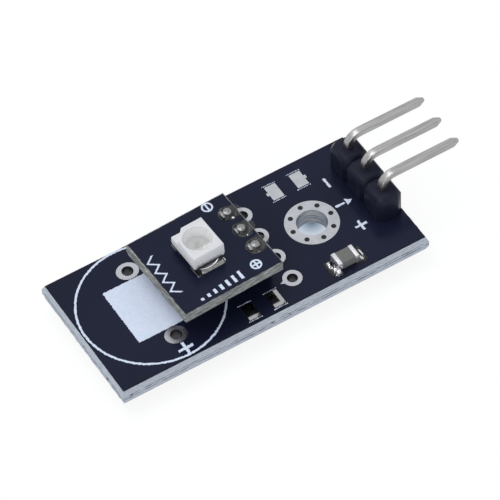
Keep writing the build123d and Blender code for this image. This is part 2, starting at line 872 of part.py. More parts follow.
# Solder outside each of the photodiode's leads
with BuildPart() as photodiode_solder:
    for side in (-1, 1):
        with BuildSketch(diode_side_plane.offset(-lead_width / 2)):
            with BuildLine():
                heel = (side * lead_reach, 0)
                crown = (side * lead_reach, diode_solder_rise)
                toe = (side * (lead_reach + diode_pad_out), 0)
                Polyline(crown, heel, toe)
                RadiusArc(toe, crown, -side * diode_solder_rise * fillet_hollow)
            make_face()
        extrude(amount=lead_width)
    add([anode_lead, cathode_lead], mode=Mode.SUBTRACT)
save(photodiode_solder, "photodiode_solder")

# Amplifier under the sensor board: body, then five folded leads
hanging_plane = Plane(
    sensor_plane.from_local_coords(Vector(amplifier_x, amplifier_y, sensor_under_seat)),
    x_dir=sensor_plane.x_dir,
    z_dir=(0, 0, -1),
)
amplifier_middle = amplifier_stand + amplifier_thickness / 2
with BuildPart() as amplifier_leads:
    for x, y, side in amplifier_lead_rows:
        lead_x = x - amplifier_x
        fold_y = amplifier_lead_span / 2 - amplifier_lead_width
        lead_plane = Plane(
            hanging_plane.from_local_coords(Vector(lead_x, 0, 0)),
            x_dir=-side * hanging_plane.y_dir,
            z_dir=-side * hanging_plane.x_dir,
        )
        with BuildLine(lead_plane) as lead_line:
            Polyline(
                (amplifier_width / 2, amplifier_middle),
                (fold_y, amplifier_middle),
                (fold_y, amplifier_lead_thickness / 2),
                (amplifier_lead_span / 2, amplifier_lead_thickness / 2),
            )
        with BuildSketch(Plane(lead_line.line @ 0, x_dir=hanging_plane.x_dir, z_dir=lead_line.line % 0)):
            Rectangle(amplifier_lead_width, amplifier_lead_thickness)
        sweep(transition=Transition.RIGHT)
save(amplifier_leads, "amplifier_leads")

with BuildPart() as amplifier_body:
    with BuildSketch(hanging_plane.offset(amplifier_middle)):
        Rectangle(amplifier_length, amplifier_width)
    extrude(amount=amplifier_thickness / 2, taper=amplifier_draft)
    with BuildSketch(hanging_plane.offset(amplifier_middle)):
        Rectangle(amplifier_length, amplifier_width)
    extrude(amount=-amplifier_thickness / 2, taper=amplifier_draft)
save(amplifier_body, "amplifier_body")

# Chip resistors and capacitor beside it
small_chip_places = [
    Plane(
        sensor_plane.from_local_coords(Vector(x, y, sensor_under_seat)),
        x_dir=sensor_plane.x_dir,
        z_dir=(0, 0, -1),
    ).location
    for x, y in small_chip_spots
]

small_chip_size = (small_chip_length, small_chip_width, small_chip_height)
small_chip_block = chip_body(*small_chip_size)
small_chip_caps = chip_ends(small_chip_block, *small_chip_size, small_chip_wrap)

with BuildPart() as small_chip_bodies:
    with Locations(*small_chip_places):
        add(small_chip_block)
save(small_chip_bodies, "small_chip_bodies")

with BuildPart() as small_chip_ends:
    with Locations(*small_chip_places):
        add(small_chip_caps)
save(small_chip_ends, "small_chip_ends")
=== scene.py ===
# %% [markdown]
# # A UV sensor module, dressed over its CAD frame
# The object is a pair of circuit boards: a carrier with a bent-pin header at one end, and a small
# board with a white photodiode that stands on a row of pins above it. The solids come from the
# CAD frame, already in place, so this lesson gives them their finishes and models what a solid
# modeller leaves plain: solder that wetted its pins, fibres torn along a snapped edge, ink with a
# ragged rim.

# %% Load the frame and note its box
from math import atan2, cos, pi, radians, sin

import bmesh
import bpy
from mathutils import Matrix, Vector, noise


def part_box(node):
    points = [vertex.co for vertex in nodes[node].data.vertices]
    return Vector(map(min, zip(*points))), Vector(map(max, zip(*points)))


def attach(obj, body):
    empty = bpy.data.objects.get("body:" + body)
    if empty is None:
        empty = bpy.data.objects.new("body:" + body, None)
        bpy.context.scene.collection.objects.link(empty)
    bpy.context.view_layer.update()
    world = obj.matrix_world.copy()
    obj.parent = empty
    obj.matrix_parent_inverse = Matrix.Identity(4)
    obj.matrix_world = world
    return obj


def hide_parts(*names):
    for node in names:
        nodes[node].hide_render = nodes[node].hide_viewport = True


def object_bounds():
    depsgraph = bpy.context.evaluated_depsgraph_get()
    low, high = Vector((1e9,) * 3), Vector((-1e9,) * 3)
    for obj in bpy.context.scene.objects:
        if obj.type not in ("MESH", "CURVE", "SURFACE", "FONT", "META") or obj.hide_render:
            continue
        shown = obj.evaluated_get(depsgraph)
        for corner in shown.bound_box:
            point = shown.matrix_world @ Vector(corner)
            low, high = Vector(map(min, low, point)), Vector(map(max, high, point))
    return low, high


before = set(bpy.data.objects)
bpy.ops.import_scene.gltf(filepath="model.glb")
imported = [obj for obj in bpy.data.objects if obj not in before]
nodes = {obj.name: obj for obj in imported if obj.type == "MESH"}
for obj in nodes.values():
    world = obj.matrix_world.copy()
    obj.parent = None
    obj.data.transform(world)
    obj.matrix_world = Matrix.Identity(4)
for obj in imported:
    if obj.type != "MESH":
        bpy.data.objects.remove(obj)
cad_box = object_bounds()
print("nodes:", len(nodes), "box:", [round(v * 1000, 2) for corner in cad_box for v in corner])

# %% [markdown]
# ## Sizes shared by the whole lesson
# Everything is in metres in the scene, but a circuit board is thought of in millimetres, so one
# value turns one into the other. A pattern's scale is a count per metre, so blobs of 0.7 mm have
# a scale of per_mm / 0.7. The boards' faces are read from the frame, because every finish below
# is placed against them. The sensor board was soldered by hand and stands a touch askew, so it
# has a frame of its own, found from its row of pins.

# %% Millimetres, the levels of the boards and the sensor board's own frame
mm = 0.001
per_mm = 1 / mm


def corners(name):
    """Lowest and highest corner of a CAD node, as vectors."""
    return [Vector(corner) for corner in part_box(name)]


def middle(name):
    """Middle of a CAD node's box."""
    low, high = corners(name)
    return (low + high) / 2


mask_level = corners("main_mask_top")[1].z
sensor_mask_level = corners("sensor_mask_top")[1].z
pin_row = middle("link_pin_1") - middle("link_pin_3")
sensor_turn = Matrix.Rotation(atan2(-pin_row.x, pin_row.y), 4, "Z")
sensor_middle = middle("sensor_board")
on_sensor = Matrix.Translation((sensor_middle.x, sensor_middle.y, 0)) @ sensor_turn
print("carrier top", round(mask_level / mm, 3), "sensor top", round(sensor_mask_level / mm, 3))

# %% [markdown]
# ## The camera
# The photograph is a product shot through a long lens from above the near long side. Its place
# was worked out from the board's edges, the printed circle and the row of holes, so it is written
# here as a place and three directions: right, up and back. A matrix holds a camera without any of
# the order-of-turns trouble that angles bring.

# %% Camera at the photograph's viewpoint
camera_data = bpy.data.cameras.new("studio_camera")
camera_data.lens = 296.56
camera_data.sensor_width = 36
camera_data.clip_end = 10
camera = bpy.data.objects.new("studio_camera", camera_data)
bpy.context.scene.collection.objects.link(camera)
right = Vector((0.85155723, -0.52298654, -0.0365425))
up = Vector((0.43098706, 0.65866239, 0.61677711))
back = Vector((-0.29849696, -0.54097036, 0.78628916))
place = Vector((-104.2255, -178.3027, 261.2618)) * mm
camera.matrix_world = Matrix.Translation(place) @ Matrix((right, up, back)).transposed().to_4x4()
bpy.context.scene.camera = camera
print("camera", [round(v, 4) for v in camera.location], "lens", camera_data.lens)

# %% [markdown]
# ## Helpers for materials
# A material is a small graph of nodes. One function adds a node with its settings and its links,
# so that each finish below reads as a list of what it is made of. A mix takes its share at socket
# 0, and what it mixes at 6 and 7 or, for shaders, at 1 and 2. Colours are written the way a paint
# chart gives them, as sRGB hex, and turned to linear light once.

# %% Hex colours, a node adder and a plain material
def linear(hex_colour):
    """An sRGB hex value as linear RGBA."""
    values = [int(hex_colour[i:i + 2], 16) / 255 for i in (1, 3, 5)]
    return [v / 12.92 if v <= 0.04045 else ((v + 0.055) / 1.055) ** 2.4 for v in values] + [1]


def add_node(material, kind, links=(), to=None, stops=(), **settings):
    """Adds a node. Settings with a capital are sockets, the others are the node's own properties.

    links feed its sockets from other sockets or from the first outputs of nodes. to is a socket
    that its own first output feeds, and stops are a ramp's colours.
    """
    tree = material.node_tree
    node = tree.nodes.new(kind)
    for key, value in settings.items():
        if key[0].islower():
            setattr(node, key, value)
        else:
            node.inputs[key.replace("_", " ")].default_value = value
    for socket, source in dict(links).items():
        if isinstance(source, bpy.types.Node):
            source = source.outputs[0]
        tree.links.new(source, node.inputs[socket])
    ramp = node.color_ramp.elements if stops else ()
    while len(ramp) < len(stops):
        ramp.new(0.5)
    for index, (position, colour) in enumerate(stops):
        ramp[index].position = position
        ramp[index].color = linear(colour)
    if to:
        tree.links.new(node.outputs[0], to)
    return node


noise_node, ramp_node, bump_node = "ShaderNodeTexNoise", "ShaderNodeValToRGB", "ShaderNodeBump"


def new_material(name, **sockets):
    """A material, its Principled shader with the constants on it, and its Object coordinates."""
    material = bpy.data.materials.new(name)
    material.use_nodes = True
    material.node_tree.nodes.clear()
    shader = add_node(material, "ShaderNodeBsdfPrincipled", **sockets)
    add_node(material, "ShaderNodeOutputMaterial", {"Surface": shader})
    place = add_node(material, "ShaderNodeTexCoord").outputs["Object"]
    return material, shader, place


def steepness(material):
    """0 on a level face, 1 on an upright wall, by the face's own direction on the object."""
    normal = add_node(material, "ShaderNodeTexCoord").outputs["Normal"]
    parts = add_node(material, "ShaderNodeSeparateXYZ", {"Vector": normal})
    level = add_node(material, "ShaderNodeMath", {0: parts.outputs["Z"]}, operation="ABSOLUTE")
    return add_node(material, "ShaderNodeMapRange", {"Value": level}, To_Min=1, To_Max=0)


def uneven_skin(material, shader, place, wave_mm, depth_mm, detail=3):
    """Tilts a surface as if it had waves wave_mm long and depth_mm deep."""
    wave = add_node(material, noise_node, {"Vector": place}, Scale=per_mm / wave_mm, Detail=detail)
    tilt = {"Distance": depth_mm * mm}
    add_node(material, bump_node, {"Height": wave}, shader.inputs["Normal"], **tilt)


rich_noise = {"Detail": 4, "Roughness": 0.6}
plain_noise = {"Detail": 3, "Roughness": 0.6}


def finish(material, *names):
    """Gives a material to CAD nodes."""
    for name in names:
        for slot in nodes[name].material_slots:
            slot.material = material
    print(material.name, "on", len(names), "nodes")


# %% [markdown]
# ## Helpers for pieces
# Each new piece is a closed mesh in the object's own place. It rides on the one body, takes the
# finishes it is given and may stand for a CAD node whose plain form it refines.

# %% Pieces from a mesh, eased copies of CAD nodes
def add_piece(name, mesh, materials, slot, *replaced, crisp=35):
    """Turns a bmesh into a piece. Edges beyond crisp degrees stay sharp, and with 0 all do."""
    bmesh.ops.recalc_face_normals(mesh, faces=mesh.faces)
    data = bpy.data.meshes.new(name)
    mesh.to_mesh(data)
    mesh.free()
    for material in materials:
        data.materials.append(material)
    if crisp:
        data.shade_smooth()
        data.set_sharp_from_angle(angle=radians(crisp))
    piece = bpy.data.objects.new(name, data)
    bpy.context.scene.collection.objects.link(piece)
    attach(piece, "root")
    if replaced:
        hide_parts(*replaced)
    print(name, len(data.polygons), "faces")
    return piece


weld = 0.0005 * mm


def frame_mesh(name):
    """A copy of a CAD node's mesh, its triangles joined into whole faces."""
    mesh = bmesh.new()
    mesh.from_mesh(nodes[name].data)
    bmesh.ops.remove_doubles(mesh, verts=mesh.verts, dist=weld)
    bmesh.ops.dissolve_limit(mesh, angle_limit=radians(1), verts=mesh.verts, edges=mesh.edges)
    return mesh


def ease(mesh, radius_mm, sharper_than=30, segments=3):
    """Rounds the edges that turn by more than sharper_than degrees, as a mould or a saw does."""
    limit = radians(sharper_than)
    sharp = [e for e in mesh.edges if e.is_manifold and e.calc_face_angle(0) > limit]
    bmesh.ops.bevel(
        mesh,
        geom=sharp,
        offset=radius_mm * mm,
        affect="EDGES",
        segments=segments,
        profile=0.5,
        material=-1,
        clamp_overlap=True,
    )


def eased_copy(name, node, material, slot, radius_mm, **bevel):
    """A CAD node with its sharp edges rounded."""
    mesh = frame_mesh(node)
    ease(mesh, radius_mm, **bevel)
    return add_piece(name, mesh, [material], slot, node)


# %% [markdown]
# ## Solder mask
# The dark skin of a circuit board is an epoxy ink, flooded over the copper and cured. It is
# blue-black and semi-gloss, so it mirrors the header and the upper board as darker patches. A
# soft cloud in its colour and the faint orange peel of a flooded ink are enough at this distance.

# %% Solder mask of both boards
bluish = linear("#ccd9fa")
solder_mask, shader, place = new_material(
    "cured_epoxy_solder_mask", Roughness=0.2, Specular_IOR_Level=0.19, Specular_Tint=bluish
)
cloud = add_node(solder_mask, noise_node, {"Vector": place}, Scale=per_mm / 7, Detail=3)
mask_blues = [(0.3, "#131728"), (0.7, "#1a1c30")]
add_node(solder_mask, ramp_node, {"Fac": cloud}, shader.inputs["Base Color"], mask_blues)
uneven_skin(solder_mask, shader, place, 0.4, 0.003, detail=2)
finish(solder_mask, "main_mask_bottom", "sensor_mask_bottom")

# %% [markdown]
# ## Legend ink
# The white marks are printed on the mask through a screen or by jet, so their rims are ragged at
# the size of the droplets, about a tenth of a millimetre. The ink is opaque and matt with a faint
# blue from the board under it. The CAD print is crisp, so a copy of its upper faces gets a fine
# rim that is nudged about, and the thin lines at the chip pads break up into the dots they were
# printed as.

# %% White legend ink
legend_ink, shader, place = new_material(
    "screened_white_epoxy_ink", Roughness=0.62, Specular_IOR_Level=0.3
)
speck = add_node(legend_ink, noise_node, {"Vector": place}, Scale=per_mm / 0.25, **rich_noise)
ink_whites = [(0.3, "#d4dff2"), (0.7, "#e0e9fa")]
add_node(legend_ink, ramp_node, {"Fac": speck}, shader.inputs["Base Color"], ink_whites)

# %% Helpers for films with a ragged rim
noise.seed_set(23)
thin_line = 0.15 * mm


def islands(mesh):
    """Faces of a mesh grouped by what hangs together."""
    seen, found = set(), []
    for start in mesh.faces:
        if start in seen:
            continue
        seen.add(start)
        patch = [start]
        for face in patch:
            near = [other for edge in face.edges for other in edge.link_faces if other not in seen]
            seen.update(near)
            patch += dict.fromkeys(near)
        found.append(patch)
    return found


def faces_of(verts):
    """The faces that meet a list of points, each once and in a fixed order."""
    return list(dict.fromkeys(face for vert in verts for face in vert.link_faces))


def extruded(mesh, faces):
    """Extrudes faces and gives the points of the new end."""
    geometry = bmesh.ops.extrude_face_region(mesh, geom=faces)["geom"]
    return [part for part in geometry if isinstance(part, bmesh.types.BMVert)]


def dotted_line(mesh, low, high):
    """A row of ink dots between two corners."""
    pitch, droplet, wander = 0.145 * mm, 0.12 * mm, 0.03 * mm
    for step in range(int((high.x - low.x) / pitch) + 1):
        spot = Vector((low.x + pitch * step, (low.y + high.y) / 2, high.z))
        radius = 0.062 * mm * (0.75 + 0.5 * noise.noise(spot / droplet))
        spot.y += noise.noise(spot / (0.3 * mm)) * wander
        here = Matrix.Translation(spot)
        bmesh.ops.create_circle(mesh, cap_ends=True, segments=9, radius=radius, matrix=here)


def ragged_film(name, node, material, slot, film, reach, grain_size, shrink=0):
    """A copy of a flat node's upper side, a film thick, with a ragged rim.

    Its rim is drawn in by shrink and nudged by up to reach, in waves of grain_size. Islands that
    are no more than a thin line are printed as dots.
    """
    mesh = bmesh.new()
    mesh.from_mesh(nodes[node].data)
    bmesh.ops.remove_doubles(mesh, verts=mesh.verts, dist=weld)
    not_upper = [f for f in mesh.faces if f.normal.z < 0.9]
    bmesh.ops.delete(mesh, geom=not_upper, context="FACES")
    thin = []
    for patch in islands(mesh):
        spots = [v.co for f in patch for v in f.verts]
        low = Vector([min(s[axis] for s in spots) for axis in range(3)])
        high = Vector([max(s[axis] for s in spots) for axis in range(3)])
        if high.y - low.y < thin_line:
            thin.append((low, high))
            bmesh.ops.delete(mesh, geom=patch, context="FACES")
    inner = [e for e in mesh.edges if not e.is_boundary]
    bmesh.ops.dissolve_limit(mesh, angle_limit=radians(1), verts=mesh.verts, edges=inner)
    if shrink:
        inset = {"faces": mesh.faces, "thickness": shrink, "use_boundary": True}
        outer = bmesh.ops.inset_region(mesh, **inset)["faces"]
        bmesh.ops.delete(mesh, geom=outer, context="FACES")
    rim = [e for e in mesh.edges if e.is_boundary]
    while rim:
        bmesh.ops.subdivide_edges(mesh, edges=rim, cuts=1)
        rim = [e for e in mesh.edges if e.is_boundary and e.calc_length() > grain_size / 2]
    for vert in mesh.verts:
        if vert.is_boundary:
            nudge = noise.noise_vector(vert.co / grain_size) * reach
            vert.co += Vector((nudge.x, nudge.y, 0))
    for low, high in thin:
        dotted_line(mesh, low, high)
    for face in mesh.faces:
        if face.normal.z < 0:
            face.normal_flip()
    raised = extruded(mesh, mesh.faces[:])
    bmesh.ops.translate(mesh, verts=raised, vec=(0, 0, film))
    bmesh.ops.translate(mesh, verts=mesh.verts, vec=(0, 0, -film))
    bmesh.ops.triangulate(mesh, faces=mesh.faces)
    return add_piece(name, mesh, [material], slot, node, crisp=0)


# %% Ragged ink and mask
ink_film, droplet = 0.018 * mm, 0.11 * mm
mask_film, flow = 0.028 * mm, 0.3 * mm
ink, mask = (legend_ink, "white_print", ink_film), (solder_mask, "solder_mask", mask_film)
ragged_film("carrier_legend", "main_print", *ink, 0.055 * mm, droplet, 0.02 * mm)
ragged_film("sensor_legend", "sensor_print", *ink, 0.03 * mm, droplet)
ragged_film("carrier_mask", "main_mask_top", *mask, 0.06 * mm, flow)
ragged_film("sensor_mask", "sensor_mask_top", *mask, 0.05 * mm, flow)

# %% [markdown]
# ## Tin on copper
# Lands, pads and plated holes are copper under a film of tin, levelled with hot air. Tin is a
# soft grey metal with a satin face. The wall of the big hole still has the fine rings of the
# drill, drawn wider here than they are, since the real ones are too fine to show.

# %% Hot-air-levelled tin
levelled_tin, shader, place = new_material("hot_air_levelled_tin", Metallic=1.0, Roughness=0.34)
blotch = add_node(levelled_tin, noise_node, {"Vector": place}, Scale=per_mm / 0.7, **rich_noise)
tin_greys = [(0.3, "#a9acb3"), (0.7, "#b8bac0")]
flat_tin = add_node(levelled_tin, ramp_node, {"Fac": blotch}, stops=tin_greys)
drawn_out = add_node(
    levelled_tin, "ShaderNodeMapping", {"Vector": place}, Scale=(1 / 14, 1 / 14, 1)
)
drill_rings = add_node(
    levelled_tin, noise_node, {"Vector": drawn_out}, Scale=per_mm / 0.09, Detail=2, Roughness=0.6
)
wall_greys = [(0.35, "#585c65"), (0.5, "#868a92"), (0.65, "#a4a7ae")]
wall_tin = add_node(levelled_tin, ramp_node, {"Fac": drill_rings}, stops=wall_greys)
mixed = add_node(
    levelled_tin,
    "ShaderNodeMix",
    {0: steepness(levelled_tin), 6: flat_tin, 7: wall_tin},
    data_type="RGBA",
)
levelled_tin.node_tree.links.new(mixed.outputs[2], shader.inputs["Base Color"])
uneven_skin(levelled_tin, shader, place, 0.18, 0.006)
finish(levelled_tin, "mounting_eyelet", "upper_spare_pads", "sensor_under_pads")

# %% [markdown]
# The narrow holes get little light, so their walls are painted dark grey: painted shade on the
# plating. The eight small vias of the big land are plugged with mask.

# %% Plated holes with painted shade on their walls, and plugged vias
bore_shaded_tin, shader, place = new_material("tin_with_painted_bore_shade", Metallic=0.95, Roughness=0.24)
# Upright faces of the bores take the dark grey: painted shade inside the holes.
painted_bore_shade_colours = [(0.2, "#b7b9c0"), (0.6, "#3f3f44")]
steep = steepness(bore_shaded_tin)
add_node(bore_shaded_tin, ramp_node, {"Fac": steep}, shader.inputs["Base Color"], painted_bore_shade_colours)
uneven_skin(bore_shaded_tin, shader, place, 0.18, 0.006)
finish(bore_shaded_tin, *(f"{row}_plated_holes" for row in ("spare", "pair", "header", "link")))
plug_black = {"Base_Color": linear("#232327"), "Roughness": 0.5, "Specular_IOR_Level": 0.2}
via_plug = new_material("mask_plugged_via", **plug_black)[0]
mesh = bmesh.new()
eyelet = middle("mounting_eyelet")
eyelet.z = corners("mounting_eyelet")[1].z - 0.05 * mm
via_count, via_circle, plug_radius = 8, 1.79 * mm, 0.22 * mm
plug = {"segments": 20, "radius1": plug_radius, "radius2": plug_radius, "depth": 0.11 * mm}
for step in range(via_count):
    turn = Matrix.Rotation(step * 2 * pi / via_count, 4, "Z")
    here = Matrix.Translation(eyelet + turn @ Vector((via_circle, 0, 0)))
    bmesh.ops.create_cone(mesh, cap_ends=True, matrix=here, **plug)
add_piece("plugged_vias", mesh, [via_plug], "solder_mask")

# %% [markdown]
# ## Snapped laminate
# The boards are pressed from woven glass and epoxy. The carrier was scored top and bottom and
# snapped off its panel, so its sides have two cut flanks, pale and fine, and a torn web between
# them, where the fibres open in gaps. The web's dark band is partly darker resin-rich fibre and
# partly painted shade in those gaps. The bands lie at fixed heights, so they are coloured by
# height, and noise drawn out along the board breaks them up. Level faces of the laminate are
# multiplied dark as painted shade. The sensor board was milled and is a duller grey.

# %% Glass-fibre laminate of the carrier
web_low, web_high = 0.53 * mm, 1.07 * mm
carrier_laminate, shader, place = new_material(
    "snapped_glass_epoxy", Roughness=0.7, Specular_IOR_Level=0.3
)
drawn_out = add_node(
    carrier_laminate, "ShaderNodeMapping", {"Vector": place}, Scale=(1 / 7, 1 / 7, 1)
)
fibre = add_node(
    carrier_laminate, noise_node, {"Vector": drawn_out}, Scale=per_mm / 0.09, **rich_noise
)
cut_greys = [(0.3, "#9da4ad"), (0.5, "#b0b7c0"), (0.72, "#c6cad1")]
pale = add_node(carrier_laminate, ramp_node, {"Fac": fibre}, stops=cut_greys)
drawn_out = add_node(
    carrier_laminate, "ShaderNodeMapping", {"Vector": place}, Scale=(1 / 6, 1 / 6, 1)
)
gap = add_node(
    carrier_laminate, noise_node, {"Vector": drawn_out}, Scale=per_mm / 0.16, **plain_noise
)
# The dark band at the web's height: partly darker resin-rich fibre, partly painted shade in the
# gaps.
resin_and_gap_shade_greys = [(0.42, "#2c3540"), (0.5, "#5b646f"), (0.6, "#adb4bd")]
resin_and_gap_shade = add_node(carrier_laminate, ramp_node, {"Fac": gap}, stops=resin_and_gap_shade_greys)
parts = add_node(carrier_laminate, "ShaderNodeSeparateXYZ", {"Vector": place})
gap_shade_heights = {"From_Min": web_low + 0.12 * mm, "From_Max": web_high - 0.1 * mm}
near_web = add_node(
    carrier_laminate, "ShaderNodeMapRange", {"Value": parts.outputs["Z"]}, **gap_shade_heights
)
open_web = [(0.36, "#000000"), (0.45, "#ffffff"), (0.58, "#ffffff"), (0.7, "#000000")]
band = add_node(carrier_laminate, ramp_node, {"Fac": near_web}, stops=open_web)
mixed = add_node(
    carrier_laminate, "ShaderNodeMix", {0: band, 6: pale, 7: resin_and_gap_shade}, data_type="RGBA"
)
# Level faces are multiplied towards near black: painted shade.
bare_shade = [(0.1, "#1d2027"), (0.4, "#ffffff")]
upright = add_node(
    carrier_laminate, ramp_node, {"Fac": steepness(carrier_laminate)}, stops=bare_shade
)
shaded = {6: mixed.outputs[2], 7: upright}
side_colour = add_node(
    carrier_laminate, "ShaderNodeMix", shaded, data_type="RGBA", blend_type="MULTIPLY", Factor=1.0
)
carrier_laminate.node_tree.links.new(side_colour.outputs[2], shader.inputs["Base Color"])
add_node(
    carrier_laminate, bump_node, {"Height": fibre}, shader.inputs["Normal"], Distance=0.02 * mm
)
finish(carrier_laminate, "main_board")

# %% Glass-fibre laminate of the sensor board
sensor_laminate, shader, place = new_material(
    "milled_glass_epoxy", Roughness=0.65, Specular_IOR_Level=0.3
)
drawn_out = add_node(
    sensor_laminate, "ShaderNodeMapping", {"Vector": place}, Scale=(1 / 9, 1 / 9, 1)
)
fibre = add_node(
    sensor_laminate, noise_node, {"Vector": drawn_out}, Scale=per_mm / 0.1, **rich_noise
)
laminate_greys = [(0.32, "#4b4c4c"), (0.45, "#747675"), (0.58, "#929492"), (0.7, "#cccdcb")]
add_node(sensor_laminate, ramp_node, {"Fac": fibre}, shader.inputs["Base Color"], laminate_greys)
add_node(
    sensor_laminate, bump_node, {"Height": fibre}, shader.inputs["Normal"], Distance=0.025 * mm
)
finish(sensor_laminate, "sensor_board")

# %% [markdown]
# ## Torn and milled sides
# A snapped web is not flat: layers stand out by up to a tenth of a millimetre. Each side gets a
# thin strip, a grid as fine as the fibre bundles, pushed outwards by noise that is drawn out
# along the side. The strip rides on the flat wall of the CAD board and leaves its outline alone.

# %% Strips along the sides
column_step, row_step, strip_depth, groove_half = 0.07 * mm, 0.06 * mm, 0.05 * mm, 0.07 * mm


def rough_side(mesh, start, end, low, high, reach, bundle_mm, groove=None):
    """A strip between two points of a side, from low to high, that stands out by up to reach."""
    along = (end - start).normalized()
    out = along.cross(Vector((0, 0, 1)))
    length = (end - start).length
    columns, rows = int(length / column_step), max(4, int((high - low) / row_step))
    fresh = bmesh.ops.create_grid(mesh, x_segments=columns, y_segments=rows, size=0.5)["verts"]
    for vert in fresh:
        run, rise = vert.co.x + 0.5, vert.co.y + 0.5
        height = low + (high - low) * rise
        spot = start + along * (length * run)
        bundle = bundle_mm * mm
        seed = Vector((spot.x / 6, spot.y / 6, height)) / bundle
        stand = 0.5 + 0.5 * noise.fractal(seed, 0.8, 2.0, 3)
        fade = min(1, rise * 8, (1 - rise) * 8, run * 200, (1 - run) * 200)
        if groove is not None:
            stand *= min(1, abs(height - groove) / groove_half)
        push = max(0, min(1, stand)) * fade + 0.02
        vert.co = Vector((spot.x, spot.y, height)) + out * reach * push
    rear = extruded(mesh, faces_of(fresh))
    bmesh.ops.translate(mesh, verts=rear, vec=-out * strip_depth)


low, high = corners("main_board")
inset = 0.45 * mm
carrier_sides = [
    (Vector((low.x + inset, low.y, 0)), Vector((high.x - inset, low.y, 0))),
    (Vector((high.x, low.y + inset, 0)), Vector((high.x, high.y - inset, 0))),
    (Vector((high.x - inset, high.y, 0)), Vector((low.x + inset, high.y, 0))),
    (Vector((low.x, high.y - inset, 0)), Vector((low.x, low.y + inset, 0))),
]
mesh = bmesh.new()
for start, end in carrier_sides:
    rough_side(mesh, start, end, web_low, web_high, 0.09 * mm, 0.09, groove=0.83 * mm)
add_piece("torn_web", mesh, [carrier_laminate], "laminate", crisp=70)

low, high = corners("sensor_board")
sensor_length, sensor_width = 9.2 * mm, 8.6 * mm
sensor_sides = [
    [on_sensor @ Vector((sx * sensor_length / 2, sy * sensor_width / 2, 0)) for sx, sy in ends]
    for ends in (((-1, -1), (1, -1)), ((1, -1), (1, 1)), ((1, 1), (-1, 1)), ((-1, 1), (-1, -1)))
]
mesh = bmesh.new()
reach_and_bundle = [(0.06, 0.1), (0.05, 0.1), (0.06, 0.1), (0.16, 0.22)]
low_edge, high_edge = low.z + 0.02 * mm, high.z - 0.02 * mm
for (start, end), (reach_mm, bundle_mm) in zip(sensor_sides, reach_and_bundle):
    rough_side(mesh, start, end, low_edge, high_edge, reach_mm * mm, bundle_mm)
add_piece("milled_sides", mesh, [sensor_laminate], "laminate", crisp=70)

# %% [markdown]
# ## Pins and leads
# Header pins are square brass wire, drawn through a die and tinned before they are cut. The die
# leaves fine lines along the wire and the tin is bright but not a mirror, so it is a metal with a
# middle roughness and a streak noise drawn out along the pins, which all run along X.

# %% Bright tin on drawn wire
drawn_wire, shader, place = new_material("bright_tin_on_drawn_wire", Metallic=1.0, Roughness=0.33)
drawn_out = add_node(drawn_wire, "ShaderNodeMapping", {"Vector": place}, Scale=(1 / 22, 1, 1))
streak = add_node(drawn_wire, noise_node, {"Vector": drawn_out}, Scale=per_mm / 0.14, **rich_noise)
wire_greys = [(0.28, "#8d8c8c"), (0.5, "#a5a4a4"), (0.7, "#b6b5b4")]
add_node(drawn_wire, ramp_node, {"Fac": streak}, shader.inputs["Base Color"], wire_greys)
add_node(drawn_wire, bump_node, {"Height": streak}, shader.inputs["Normal"], Distance=0.012 * mm)
finish(drawn_wire, "link_pin_1", "link_pin_2", "link_pin_3", "amplifier_leads")

# %% [markdown]
# The CAD pins have sharp arrises. Real wire has small rounds on all four, and they catch a thin
# line of light, so each pin is replaced by a copy with its long edges eased.

# %% Header pins with eased arrises
for number in (1, 2, 3):
    pin = (f"header_pin_{number}", drawn_wire, "tinned_pin")
    eased_copy(f"drawn_pin_{number}", *pin, 0.06, segments=2)

# %% [markdown]
# ## Black housings
# Both pin strips are moulded from black glass-filled polyester. Its skin is dense and slightly
# glossy, its corners have a small mould radius, and grazing light turns it bluish.

# %% Black polyester and the header housing
black_polyester, shader, place = new_material(
    "black_moulded_polyester", Roughness=0.34, Specular_IOR_Level=0.13
)
cloud = add_node(black_polyester, noise_node, {"Vector": place}, Scale=per_mm / 1.6, Detail=3)
plastic_blacks = [(0.3, "#151827"), (0.7, "#1e2132")]
add_node(black_polyester, ramp_node, {"Fac": cloud}, shader.inputs["Base Color"], plastic_blacks)
uneven_skin(black_polyester, shader, place, 0.15, 0.004)
finish(black_polyester, "header_housing", "link_housing", "amplifier_body")
moulded = ("header_housing", black_polyester, "header_plastic")
eased_copy("moulded_header", *moulded, 0.035, sharper_than=35, segments=2)

# %% [markdown]
# ## White package
# The photodiode sits in a moulded thermoplastic package, opaque white with a soft satin skin.
# Light spreads a little under the surface, so subsurface scattering softens it, and its edges are
# eased.

# %% White package
white_package, shader, place = new_material(
    "white_moulded_thermoplastic",
    Base_Color=linear("#dfdfe1"),
    Roughness=0.5,
    Specular_IOR_Level=0.3,
    Subsurface_Weight=0.15,
    Subsurface_Radius=[0.2 * mm] * 3,
)
uneven_skin(white_package, shader, place, 0.3, 0.006)

# %% [markdown]
# The solid runs down to the board. The real body stops about 0.6 mm above it, where the leads
# fold under, and only a narrower foot reaches down in the shade. So the copy is cut off with a
# plane, its open end is filled, its edges are eased, and a plain block stands in for the foot.

